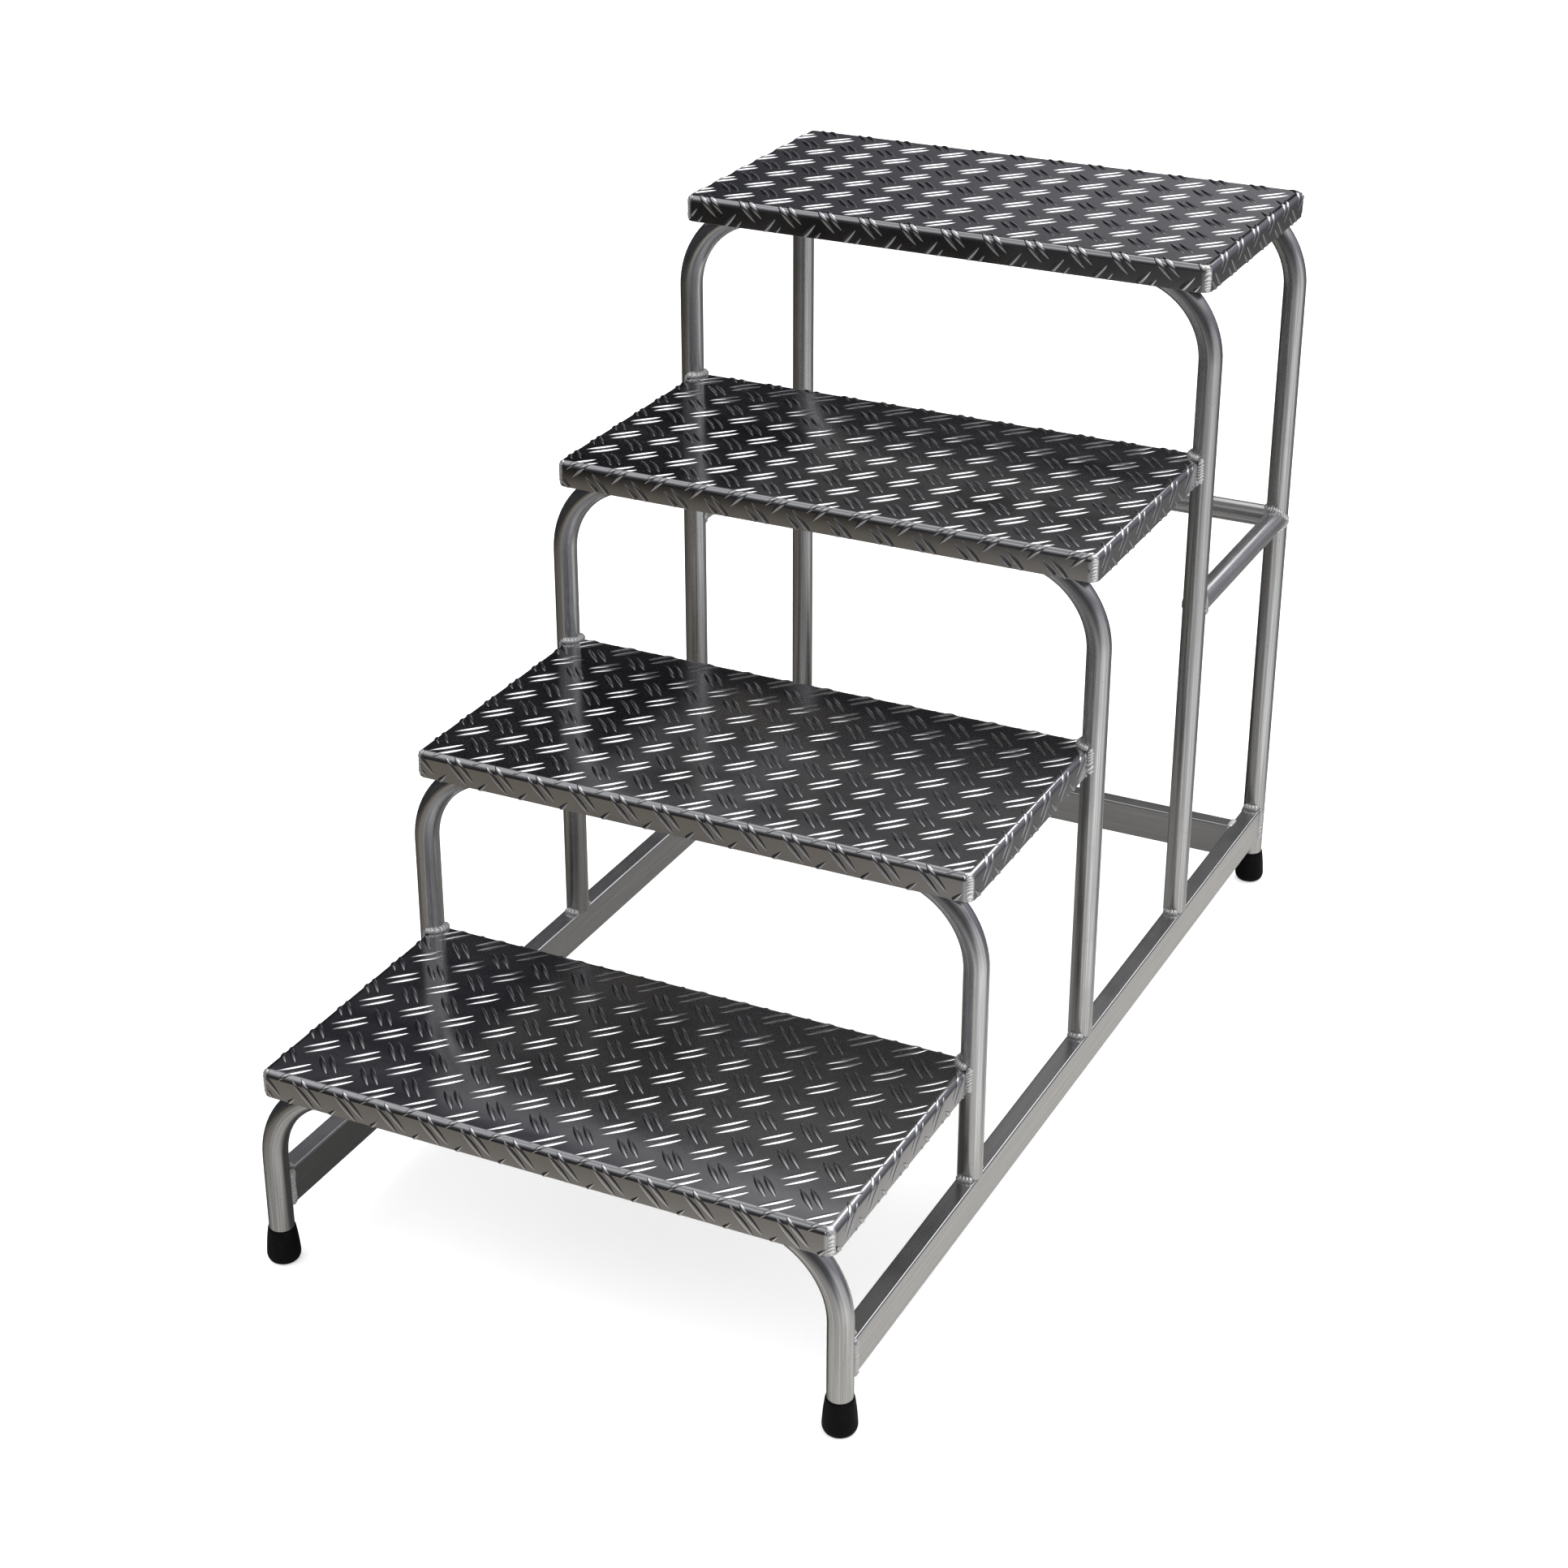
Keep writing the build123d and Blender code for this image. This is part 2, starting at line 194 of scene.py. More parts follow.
LOWER_FRONT_RIGHT = [
    (-1.0, (0.80, 0.80, 0.79)), (-0.60, (0.64, 0.64, 0.63)), (-0.50, (0.56, 0.56, 0.55)),
    (-0.41, (0.44, 0.44, 0.435)), (-0.33, (0.34, 0.34, 0.34)), (-0.26, (0.18, 0.18, 0.18)),
]
LOWER_FRONT_LEFT = [
    (-1.0, (0.56, 0.54, 0.50)), (-0.60, (0.25, 0.23, 0.20)), (-0.46, (0.20, 0.18, 0.153)),
    (-0.345, (0.185, 0.165, 0.138)), (-0.31, (0.008, 0.007, 0.006)), (-0.05, (0.02, 0.02, 0.022)),
]
# walls behind the block from left to right: where one gives way to the next, and its colours
FIRST_BACK_WALL = LOWER_BACK_LEFT + WALLS_LEFT
BACK_WALLS = [
    (-0.45, -0.29, LOWER_BACK_RIGHT + WALLS_RIGHT),
    (-0.27, -0.20, LOWER_BACK_RIGHT + WALLS_MIDDLE),
    (0.00, 0.15, LOWER_BACK_RIGHT + WALLS_FAR_RIGHT),
]
FRONT_LEFT_TO_RIGHT = (-0.35, 0.10)
FRONT_TO_BACK = (-0.65, 0.45)
SKYLIGHT = ((0.13, 0.37, 0.92), 0.980, 0.908, 2.6)  # towards, inner and outer cosine, strength
LAMP = ((0.12, 0.80, 0.59), 0.9945, 0.978, 1.8)
SIDE_LIGHT = ((0.95, -0.10, -0.35), 0.93, 0.70, 0.40)
MATT_LIGHT = (1.7, 1.7, 1.7)

# Floor: the pale one that is seen, and a glowing card that only the metal mirrors, with painted shade below
# the block and painted light just outside
FLOOR_HALF = 40.0
FLOOR_COLOUR = (0.86, 0.86, 0.86, 1)
FLOOR_GLOW = 0.35
PAINTED_REFLECTION_HALF = 1.2
PAINTED_REFLECTION_HEIGHT = 2 * MM
PAINTED_REFLECTION_COLOUR = (1.0, 0.97, 0.92, 1.0)
SHADE = (0.20, 0.05)  # tones below the block, in the middle and at the ends
SHADE_MIDDLE = 0.15
SHADE_ENDS = (0.22, 0.45)  # distances from there
SHADE_EDGE = (-0.06, 0.06)  # distances from the block's outline on the shaded side
EDGE_SHARE = 0.3  # of the shade's tone, out there
LIT_EDGE = (-0.05, 0.04)  # the same on the lit side
PAINTED_LIT_FLOOR = (0.30, 0.56)  # painted light just outside the block: tones on the left and on the right
PALE_REACH = (-0.45, 0.30)  # from where to where one gives way to the other
CARD_FADE = (0.06, 0.32)  # distances from the block's outline

# Camera
CAMERA_PLACE = (1.21008, -2.55407, 1.7432)
CAMERA_ANGLES = (radians(63.30), 0, radians(26.10))
CAMERA_LENS = 69.398
SENSOR_WIDTH = 36

tread_boxes = [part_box(f"tread_{step}") for step in range(1, 5)]
hoop_boxes = [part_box(f"hoop_{index}") for index in range(1, 6)]
rail_low, rail_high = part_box("base_rail_right")
cross_low, cross_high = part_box("cross_rail")
brace_low, brace_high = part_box("side_tube_right")
foot_low, foot_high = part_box("foot_front_right")

TUBE_RADIUS = (hoop_boxes[0][1].y - hoop_boxes[0][0].y) / 2
LEG_X = hoop_boxes[0][1].x - TUBE_RADIUS
HOOP_YS = [(low.y + high.y) / 2 for low, high in hoop_boxes]
HOOP_BOTTOMS = [low.z for low, high in hoop_boxes]
HOOP_TOPS = [high.z - TUBE_RADIUS for low, high in hoop_boxes]
RAIL_X = (rail_low.x + rail_high.x) / 2
RAIL_HALF = (rail_high.x - rail_low.x) / 2
RAIL_TOP = rail_high.z
RAIL_BOTTOM = rail_low.z
BRACE_Z = (brace_low.z + brace_high.z) / 2
SIDES = {"right": 1, "left": -1}
MIDDLE_HOOPS = (1, 2, 3)
TOP_TREAD = len(tread_boxes) - 1

weld_places = []


# ---------------------------------------------------------------- meshes

class Shape:
    """Vertices and faces of one piece. Each vertex has a place in the metal's grain and a crown,
    from 0 in the ground or a groove to 1 on top of a stud or a ripple."""

    def __init__(self):
        self.vertices = []
        self.faces = []
        self.grain = []
        self.crown = []

    def add(self, points, faces, grain=None, crown=None):
        first = len(self.vertices)
        self.vertices += [tuple(point) for point in points]
        self.faces += [tuple(first + corner for corner in face) for face in faces]
        self.grain += [tuple(place) for place in (grain or points)]
        self.crown += crown or [0.0] * len(points)


def closed_strip(sections):
    """Faces that join equal closed sections one after the other, with a cap at both ends."""
    count = len(sections[0])
    faces = []
    for row in range(len(sections) - 1):
        for k in range(count):
            following = (k + 1) % count
            faces.append((row * count + k, row * count + following,
                          (row + 1) * count + following, (row + 1) * count + k))
    faces.append(tuple(range(count))[::-1])
    last = (len(sections) - 1) * count
    faces.append(tuple(range(last, last + count)))
    return [point for section in sections for point in section], faces


def circle(x, y, z, radius, sides):
    """Points round an upright axis."""
    return [(x + radius * cos(2 * pi * k / sides), y + radius * sin(2 * pi * k / sides), z)
            for k in range(sides)]


def make_mesh(name, shape):
    """A mesh that keeps the grain and the crown of a shape's vertices."""
    mesh = bpy.data.meshes.new(name)
    mesh.from_pydata(shape.vertices, [], shape.faces)
    grain = mesh.attributes.new("grain", "FLOAT_VECTOR", "POINT")
    grain.data.foreach_set("vector", [value for place in shape.grain for value in place])
    mesh.attributes.new("crown", "FLOAT", "POINT").data.foreach_set("value", shape.crown)
    mesh.update()
    return mesh


def make_piece(name, mesh, material, nodes, sharp=38):
    """Put a finished mesh into the scene as a piece that stands for some CAD nodes."""
    mesh.materials.clear()
    mesh.materials.append(material)
    mesh.polygons.foreach_set("use_smooth", [True] * len(mesh.polygons))
    mesh.set_sharp_from_angle(angle=radians(sharp))
    piece = bpy.data.objects.new(name, mesh)
    bpy.context.scene.collection.objects.link(piece)
    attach(piece, "root")
    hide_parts(*nodes)


def add_heat(mesh):
    """Store how near each vertex is to a weld, from 0 to 1."""
    tree = KDTree(len(weld_places))
    for index, place in enumerate(weld_places):
        tree.insert(place, index)
    tree.balance()
    values = [exp(-(tree.find(vertex.co)[2] / HEAT_REACH) ** 2) for vertex in mesh.vertices]
    mesh.attributes.new("heat", "FLOAT", "POINT").data.foreach_set("value", values)


# ---------------------------------------------------------------- materials

class Nodes:
    """Short ways to add nodes to a tree and join them."""

    def __init__(self, tree):
        self.tree = tree

    def node(self, kind, inputs=None, **settings):
        made = self.tree.nodes.new("ShaderNode" + kind)
        for setting, value in settings.items():
            setattr(made, setting, value)
        for socket, value in (inputs or {}).items():
            if isinstance(value, bpy.types.NodeSocket):
                self.tree.links.new(value, made.inputs[socket])
            else:
                made.inputs[socket].default_value = value
        return made

    def calculate(self, operation, first, second=0.0):
        return self.node("Math", {0: first, 1: second}, operation=operation).outputs[0]

    def spread(self, value, low, high, to_low=0.0, to_high=1.0, **settings):
        """A value between low and high, spread from to_low to to_high."""
        inputs = {"Value": value, "From Min": low, "From Max": high, "To Min": to_low, "To Max": to_high}
        return self.node("MapRange", inputs, **settings).outputs["Result"]

    def blend(self, factor, first, second, mode="MIX"):
        """Two colours, mixed. Each may come from a node."""
        colours = [colour if isinstance(colour, bpy.types.NodeSocket) else (*colour, 1.0)
                   for colour in (first, second)]
        inputs = {0: factor, 6: colours[0], 7: colours[1]}
        return self.node("Mix", inputs, data_type="RGBA", blend_type=mode).outputs[2]


class Shader(Nodes):
    """The nodes of one material."""

    def __init__(self, name, **surface):
        self.material = bpy.data.materials.new(name)
        self.material.use_nodes = True
        super().__init__(self.material.node_tree)
        self.surface = self.tree.nodes["Principled BSDF"]
        for socket, value in surface.items():
            self.surface.inputs[socket.replace("_", " ")].default_value = value

    def attribute(self, name, vector=False):
        found = self.node("Attribute", attribute_name=name)
        return found.outputs["Vector" if vector else "Fac"]

    def object_place(self):
        return self.node("TexCoord").outputs["Object"]

    def stretched(self, place, scale):
        return self.node("Mapping", {"Vector": place, "Scale": scale}).outputs["Vector"]

    def noise(self, place, scale, detail=3.0, roughness=0.55):
        settings = {"Vector": place, "Scale": scale, "Detail": detail, "Roughness": roughness}
        return self.node("TexNoise", settings).outputs["Fac"]

    def cells(self, place, scale):
        return self.node("TexVoronoi", {"Vector": place, "Scale": scale}).outputs["Distance"]

    def bump(self, height, distance, strength, before=None):
        settings = {"Height": height, "Distance": distance, "Strength": strength}
        if before is not None:
            settings["Normal"] = before
        return self.node("Bump", settings).outputs["Normal"]

    def finish(self, **links):
        """The material, once these outputs are joined to its surface."""
        for socket, value in links.items():
            self.tree.links.new(value, self.surface.inputs[socket.replace("_", " ")])
        return self.material


def make_checker_metal():
    """Rolled aluminium checker plate: dull-bright ground, polished crowns, painted shade at the foot of each
    stud.
    """
    shader = Shader("checker_metal", Metallic=1.0)
    place = shader.attribute("grain", vector=True)
    crown = shader.attribute("crown")
    heat = shader.attribute("heat")
    rolled = shader.noise(shader.stretched(place, (1.0, 0.06, 1.0)), 900.0, 4.0)
    clouds = shader.noise(place, 9.0, 4.0, 0.6)
    grit = shader.noise(place, 2200.0, 2.0)
    waves = shader.noise(place, 4.5, 1.0)
    ground = shader.blend(clouds, (0.55, 0.55, 0.57), (0.66, 0.66, 0.67))
    ground = shader.blend(shader.spread(rolled, 0.35, 0.75, 0.0, 0.15), ground, (0.50, 0.50, 0.51))
    worn = shader.blend(shader.spread(crown, 0.5, 0.9), ground, (0.84, 0.84, 0.85))
    # painted shade: the lower flanks of every stud are darkened where the bar meets the plate
    on_stud = shader.spread(crown, 0.02, 0.15, 0.0, 1.0)
    at_foot = shader.spread(crown, 0.40, 0.68, 0.9, 0.0)
    foot_shaded = shader.blend(shader.calculate("MULTIPLY", on_stud, at_foot), worn, (0.06, 0.06, 0.065))
    tinted = shader.blend(shader.spread(heat, 0.2, 0.9, 0.0, 0.5), foot_shaded, (0.74, 0.74, 0.73))
    roughness = shader.spread(clouds, 0.3, 0.7, 0.10, 0.17)
    normal = shader.bump(waves, 0.9 * MM, 0.55)
    normal = shader.bump(rolled, 0.004 * MM, 0.15, normal)
    normal = shader.bump(grit, 0.003 * MM, 0.1, normal)
    return shader.finish(Base_Color=tinted, Roughness=roughness, Normal=normal)


def make_tube_metal(name, scale, from_attribute):
    """Drawn aluminium tube: fine lines along its length, soft stains, and pale bloom near the welds."""
    shader = Shader(name, Metallic=1.0 if from_attribute else 0.93)
    place = shader.attribute("grain", vector=True) if from_attribute else shader.object_place()
    lines = shader.noise(shader.stretched(place, scale), 620.0, 4.0, 0.6)
    broad = shader.noise(shader.stretched(place, scale), 130.0, 2.0)
    stains = shader.noise(place, 28.0, 5.0, 0.62)
    pits = shader.cells(place, 95.0)
    colour = shader.blend(shader.spread(lines, 0.35, 0.65), (0.56, 0.56, 0.57), (0.85, 0.85, 0.85))
    colour = shader.blend(shader.spread(broad, 0.45, 0.60, 0.0, 0.45), colour, (0.47, 0.47, 0.475))
    colour = shader.blend(shader.spread(stains, 0.58, 0.85, 0.0, 0.25), colour, (0.42, 0.42, 0.415))
    specks = shader.spread(pits, 0.05, 0.09, 0.3, 0.0)
    colour = shader.blend(specks, colour, (0.20, 0.20, 0.20))
    roughness = shader.spread(stains, 0.3, 0.75, 0.21, 0.29)
    if from_attribute:
        heat = shader.attribute("heat")
        soot = shader.spread(heat, 0.25, 0.6, 0.0, 0.45)
        bloom = shader.spread(heat, 0.6, 0.95, 0.0, 0.7)
        colour = shader.blend(soot, colour, (0.27, 0.265, 0.26))
        colour = shader.blend(bloom, colour, (0.72, 0.72, 0.71))
    normal = shader.bump(broad, 0.03 * MM, 0.35)
    normal = shader.bump(lines, 0.009 * MM, 0.5, normal)
    return shader.finish(Base_Color=colour, Roughness=roughness, Normal=normal)


def make_rail_metal(name, scale):
    """Extruded box section: die lines along its length, handling marks, a slightly milky face."""
    shader = Shader(name, Metallic=0.97)
    place = shader.object_place()
    lines = shader.noise(shader.stretched(place, scale), 480.0, 3.0, 0.6)
    smears = shader.noise(place, 16.0, 5.0, 0.65)
    scuffs = shader.noise(shader.stretched(place, (0.5, 0.7, 2.5)), 55.0, 6.0, 0.7)
    colour = shader.blend(shader.spread(lines, 0.3, 0.7), (0.58, 0.58, 0.59), (0.69, 0.69, 0.695))
    colour = shader.blend(shader.spread(smears, 0.45, 0.8, 0.0, 0.06), colour, (0.50, 0.50, 0.505))
    colour = shader.blend(shader.spread(scuffs, 0.68, 0.85, 0.0, 0.03), colour, (0.45, 0.45, 0.45))
    roughness = shader.spread(smears, 0.3, 0.75, 0.16, 0.24)
    normal = shader.bump(smears, 0.04 * MM, 0.1)
    normal = shader.bump(lines, 0.008 * MM, 0.45, normal)
    return shader.finish(Base_Color=colour, Roughness=roughness, Normal=normal)


def make_weld_metal():
    """Weld bead: bright, wet-looking ripples with darker grooves and specks of oxide."""
    shader = Shader("weld_bead_metal", Metallic=0.85)
    place = shader.attribute("grain", vector=True)
    crown = shader.attribute("crown")
    oxide = shader.noise(place, 210.0, 5.0, 0.65)
    frost = shader.noise(place, 1300.0, 3.0)
    colour = shader.blend(shader.spread(crown, 0.15, 0.8), (0.52, 0.52, 0.52), (0.93, 0.93, 0.93))
    colour = shader.blend(shader.spread(oxide, 0.58, 0.72, 0.0, 0.6), colour, (0.22, 0.215, 0.21))
    roughness = shader.spread(frost, 0.3, 0.7, 0.20, 0.34)
    normal = shader.bump(frost, 0.03 * MM, 0.5)
    return shader.finish(Base_Color=colour, Roughness=roughness, Normal=normal)


def make_rubber():
    """Moulded black rubber: fine grain, a soft sheen, patches of dust."""
    shader = Shader("foot_rubber_black", Metallic=0.0, Specular_IOR_Level=0.12)
    place = shader.attribute("grain", vector=True)
    grain = shader.noise(place, 1500.0, 3.0, 0.6)
    dust = shader.noise(place, 120.0, 5.0, 0.65)
    dusty = shader.spread(dust, 0.5, 0.8, 0.0, 0.5)
    colour = shader.blend(dusty, (0.002, 0.002, 0.0022), (0.009, 0.0088, 0.0085))
    roughness = shader.spread(dust, 0.3, 0.7, 0.40, 0.56)
    normal = shader.bump(grain, 0.03 * MM, 0.5)
    return shader.finish(Base_Color=colour, Roughness=roughness, Normal=normal)


# ---------------------------------------------------------------- treads

class Pan:
    """Sizes of one folded tread, to the face of its plate, and the map from flat sheet to folded."""

    def __init__(self, box):
        low, high = box
        self.x = (low.x + high.x) / 2
        self.y = (low.y + high.y) / 2
        self.half_width = (high.x - low.x) / 2 - STUD_HEIGHT
        self.half_depth = (high.y - low.y) / 2 - STUD_HEIGHT
        self.top = high.z - STUD_HEIGHT
        self.bottom = low.z
        self.front = low.y
        self.flat_x = self.half_width - FOLD_RADIUS
        self.flat_y = self.half_depth - FOLD_RADIUS
        # how far the flat sheet runs on past the start of a fold
        self.fold_reach = FOLD_RADIUS * pi / 2 + self.top - FOLD_RADIUS - self.bottom

    def corner_centre(self, side_x, side_y):
        """The upright axis that a corner is rounded about."""
        return (self.x + side_x * (self.half_width - CORNER_RADIUS),
                self.y + side_y * (self.half_depth - CORNER_RADIUS))

    def ring(self, inset, z):
        """Closed outline of the pan at height z, moved in from the plate's outer face."""
        radius = CORNER_RADIUS - inset
        points = []
        for quarter, sides in enumerate(((1, 1), (-1, 1), (-1, -1), (1, -1))):
            centre_x, centre_y = self.corner_centre(*sides)
            for k in range(CORNER_STEPS + 1):
                angle = pi / 2 * (quarter + k / CORNER_STEPS)
                points.append((centre_x + radius * cos(angle), centre_y + radius * sin(angle), z))
        return points

    def holds(self, x, y):
        """Whether a point of the flat sheet is on it: not past an edge, and not in a cut-out corner."""
        past_x = abs(x) - self.flat_x
        past_y = abs(y) - self.flat_y
        return max(past_x, past_y) <= self.fold_reach and not (past_x > 0 and past_y > 0)

    def kept_on(self, x, y, folds_in_x):
        """The nearest point that is on the sheet, for a bar whose middle lies on it."""
        limit_x = self.flat_x + (self.fold_reach if folds_in_x else 0)
        limit_y = self.flat_y + (0 if folds_in_x else self.fold_reach)
        if max(abs(x) - self.flat_x, abs(y) - self.flat_y) <= 0:
            return x, y
        return max(-limit_x, min(limit_x, x)), max(-limit_y, min(limit_y, y))

    def folded(self, x, y, lift):
        """Where a point of the flat sheet lies once the flanges are folded, lift above the face."""
        past_x = abs(x) - self.flat_x
        past_y = abs(y) - self.flat_y
        past = max(past_x, past_y)
        if past <= 0:
            return (self.x + x, self.y + y, self.top + lift)
        if past < FOLD_RADIUS * pi / 2:
            angle = past / FOLD_RADIUS
            out = (FOLD_RADIUS + lift) * sin(angle)
            height = self.top - FOLD_RADIUS + (FOLD_RADIUS + lift) * cos(angle)
        else:
            out = FOLD_RADIUS + lift
            height = self.top - FOLD_RADIUS - (past - FOLD_RADIUS * pi / 2)
        if past_x > past_y:
            return (self.x + (self.flat_x + out) * (1 if x > 0 else -1), self.y + y, height)
        return (self.x + x, self.y + (self.flat_y + out) * (1 if y > 0 else -1), height)


def make_pan_shape(pan):
    """The plate of a tread: both faces and the cut edge round the bottom of the flanges."""

    def face(inset, edge):
        """Profile of one face, from the cut edge up over the fold."""
        radius = FOLD_RADIUS - inset
        profile = [(edge, pan.bottom), (inset, pan.bottom + EDGE_BREAK)]
        for k in range(FOLD_STEPS + 1):
            angle = pi / 2 * k / FOLD_STEPS
            profile.append((inset + radius * (1 - cos(angle)), pan.top - FOLD_RADIUS + radius * sin(angle)))
        profile.append((FOLD_RADIUS + FLAT_MARGIN, pan.top - inset))
        return profile

    profile = face(PLATE, PLATE - EDGE_BREAK)[::-1] + face(0, EDGE_BREAK)
    shape = Shape()
    shape.add(*closed_strip([pan.ring(*place) for place in profile]))
    return shape


def notch(mesh, pan, leg_y):
    """Cut the rear corners of a tread round the two legs behind it."""
    cutter_shape = Shape()
    for side in SIDES.values():
        sections = [circle(side * LEG_X, leg_y, z, TUBE_RADIUS, TUBE_SIDES)
                    for z in (pan.bottom - NOTCH_MARGIN, pan.top + NOTCH_MARGIN)]
        cutter_shape.add(*closed_strip(sections))
    body = bpy.data.objects.new("uncut", mesh)
    cutter = bpy.data.objects.new("cutter", make_mesh("cutter", cutter_shape))
    for part in (body, cutter):
        bpy.context.scene.collection.objects.link(part)
    cut = body.modifiers.new("notch", "BOOLEAN")
    cut.operation = "DIFFERENCE"
    cut.solver = "EXACT"
    cut.object = cutter
    graph = bpy.context.evaluated_depsgraph_get()
    result = bpy.data.meshes.new_from_object(body.evaluated_get(graph))
    for part in (body, cutter):
        bpy.data.objects.remove(part)
    return result


def add_stud(shape, pan, x, y, angle):
    """One crowned bar, lens-shaped seen from above, folded over with the sheet where it crosses a fold."""
    half = STUD_LENGTH / 2
    ends = [(x + side * half * cos(angle), y + side * half * sin(angle)) for side in (-1, 1)]
    on_flat = all(abs(end[0]) < pan.flat_x and abs(end[1]) < pan.flat_y for end in ends)
    steps = STUD_ROWS if on_flat else FOLDED_STUD_ROWS
    folds_in_x = abs(x) - pan.flat_x > abs(y) - pan.flat_y
    rows = []
    for k in range(steps + 1):
        along = STUD_TIP * (2 * k / steps - 1)
        middle_x = x + along * half * cos(angle)
        middle_y = y + along * half * sin(angle)
        rows.append((along, middle_x, middle_y, pan.holds(middle_x, middle_y)))
    kept, current = [], []  # the longest run of rows that are on the sheet
    for row in rows:
        current = current + [row] if row[3] else []
        if len(current) > len(kept):
            kept = current
    if len(kept) < FEWEST_STUD_ROWS:
        return
    sections, grain, crown = [], [], []
    for along, middle_x, middle_y, _ in kept:
        taper = 1 - along * along
        section = []
        for k in range(STUD_FACETS + 1):
            across = 2 * k / STUD_FACETS - 1
            reach = across * STUD_WIDTH / 2 * taper ** NARROWING
            flat_x = middle_x - reach * sin(angle)
            flat_y = middle_y + reach * cos(angle)
            flat_x, flat_y = pan.kept_on(flat_x, flat_y, folds_in_x)
            roundness = 1 - abs(across) ** SIDE_FALL
            lift = taper ** TIP_FALL * roundness * (STUD_HEIGHT + STUD_SINK) - STUD_SINK
            section.append(pan.folded(flat_x, flat_y, min(lift, STUD_HEIGHT)))
            grain.append((flat_x, flat_y, lift))
            crown.append(BARE_CROWN + (1 - BARE_CROWN) * roundness * taper ** POLISH_AND_SHADE_FALL)
        sections.append(section)
    shape.add(*closed_strip(sections), grain, crown)


def add_studs(shape, pan, pitch, phase):
    """The pattern runs on over the folds, because the sheet was rolled before it was folded."""
    start_x = phase[0]
    start_y = phase[1] + pan.front - pan.y
    for column in range(-PATTERN_REACH, PATTERN_REACH + 1):
        for row in range(-PATTERN_REACH, PATTERN_REACH + 1):
            middle = (start_x + column * pitch[0], start_y + row * pitch[1])
            pairs = (
                (middle, RISING_GAP, STUD_ANGLE),
                ((middle[0] + pitch[0] / 2, middle[1] + pitch[1] / 2), FALLING_GAP, -STUD_ANGLE),
            )
            for (pair_x, pair_y), gap, angle in pairs:
                for side in (-0.5, 0.5):
                    x = pair_x + side * gap[0]
                    y = pair_y + side * gap[1]
                    if abs(x) < 2 * pan.half_width and abs(y) < 2 * pan.half_depth:
                        add_stud(shape, pan, x, y, angle)


def join_meshes(name, first, second):
    """One mesh from two, keeping their attributes."""
    made = []
    for mesh in (first, second):
        part = bpy.data.objects.new(name, mesh)
        bpy.context.scene.collection.objects.link(part)
        made.append(part)
    with bpy.context.temp_override(active_object=made[0], object=made[0], selected_objects=made,
                                   selected_editable_objects=made):
        bpy.ops.object.join()
    mesh = made[0].data
    bpy.data.objects.remove(made[0])
    return mesh


def make_treads(material):
    """Folded plate with its studs, cut round the legs behind it."""
    for step, (box, (pitch, phase)) in enumerate(zip(tread_boxes, PATTERNS)):
        pan = Pan(box)
        plate = make_mesh(f"plate_{step + 1}", make_pan_shape(pan))
        if step < TOP_TREAD:
            plate = notch(plate, pan, HOOP_YS[step + 1])
        studs = Shape()
        add_studs(studs, pan, pitch, phase)
        mesh = join_meshes(f"checker_tread_{step + 1}", plate, make_mesh("studs", studs))
        add_heat(mesh)
        make_piece(f"checker_tread_{step + 1}", mesh, material, [f"tread_{step + 1}"])


# ---------------------------------------------------------------- tubes

def hoop_path(y, bottom, top):
    """Middle line of a hoop: (point, tangent) pairs from the left leg's end to the right leg's."""
    corner_z = top - BEND_RADIUS
    corner_x = LEG_X - BEND_RADIUS
    path = []
    rises = max(2, round((corner_z - bottom) / RUN_STEP))
    for k in range(rises):
        path.append(((-LEG_X, y, bottom + (corner_z - bottom) * k / rises), (0, 0, 1)))
    for k in range(BEND_STEPS + 1):
        angle = pi / 2 * k / BEND_STEPS
        path.append(((-corner_x - BEND_RADIUS * cos(angle), y, corner_z + BEND_RADIUS * sin(angle)),
                     (sin(angle), 0, cos(angle))))
    crossings = round(2 * corner_x / RUN_STEP)
    for k in range(1, crossings):
        path.append(((-corner_x + 2 * corner_x * k / crossings, y, top), (1, 0, 0)))
    for point, tangent in path[rises + BEND_STEPS::-1]:
        path.append(((-point[0], y, point[2]), (tangent[0], 0, -tangent[2])))
    return path


def make_hoops(material):
    """Bent tubes, with the grain running along them."""
    for index, (y, bottom, top) in enumerate(zip(HOOP_YS, HOOP_BOTTOMS, HOOP_TOPS)):
        shape = Shape()
        sections, grain = [], []
        length = 0
        before = None
        for point, tangent in hoop_path(y, bottom, top):
            place = Vector(point)
            length += (place - before).length if before else 0
            before = place
            outward = Vector((-tangent[2], 0, tangent[0]))
            along = length + GRAIN_SHIFT * index
            section = []
            for k in range(TUBE_SIDES):
                angle = 2 * pi * k / TUBE_SIDES
                section.append(place + TUBE_RADIUS * (outward * cos(angle) + Vector((0, sin(angle), 0))))
                grain.append((TUBE_RADIUS * cos(angle), TUBE_RADIUS * sin(angle), along))
            sections.append(section)
        shape.add(*closed_strip(sections), grain)
        mesh = make_mesh(f"bent_hoop_{index + 1}", shape)
        mesh.flip_normals()
        add_heat(mesh)
        make_piece(f"bent_hoop_{index + 1}", mesh, material, [f"hoop_{index + 1}"], sharp=60)


# ---------------------------------------------------------------- welds

def ripple_at(distance, across, seed):
    """Height of a weld's ripples, 0 in a groove to 1 on a crest: crescents that bow along the bead."""
    wander = sum(size * sin(distance / length + phase * seed) for size, length, phase in RIPPLE_WANDER)
    return abs(sin(pi * (distance / RIPPLE + RIPPLE_BOW * across * across + wander))) ** RIPPLE_POWER


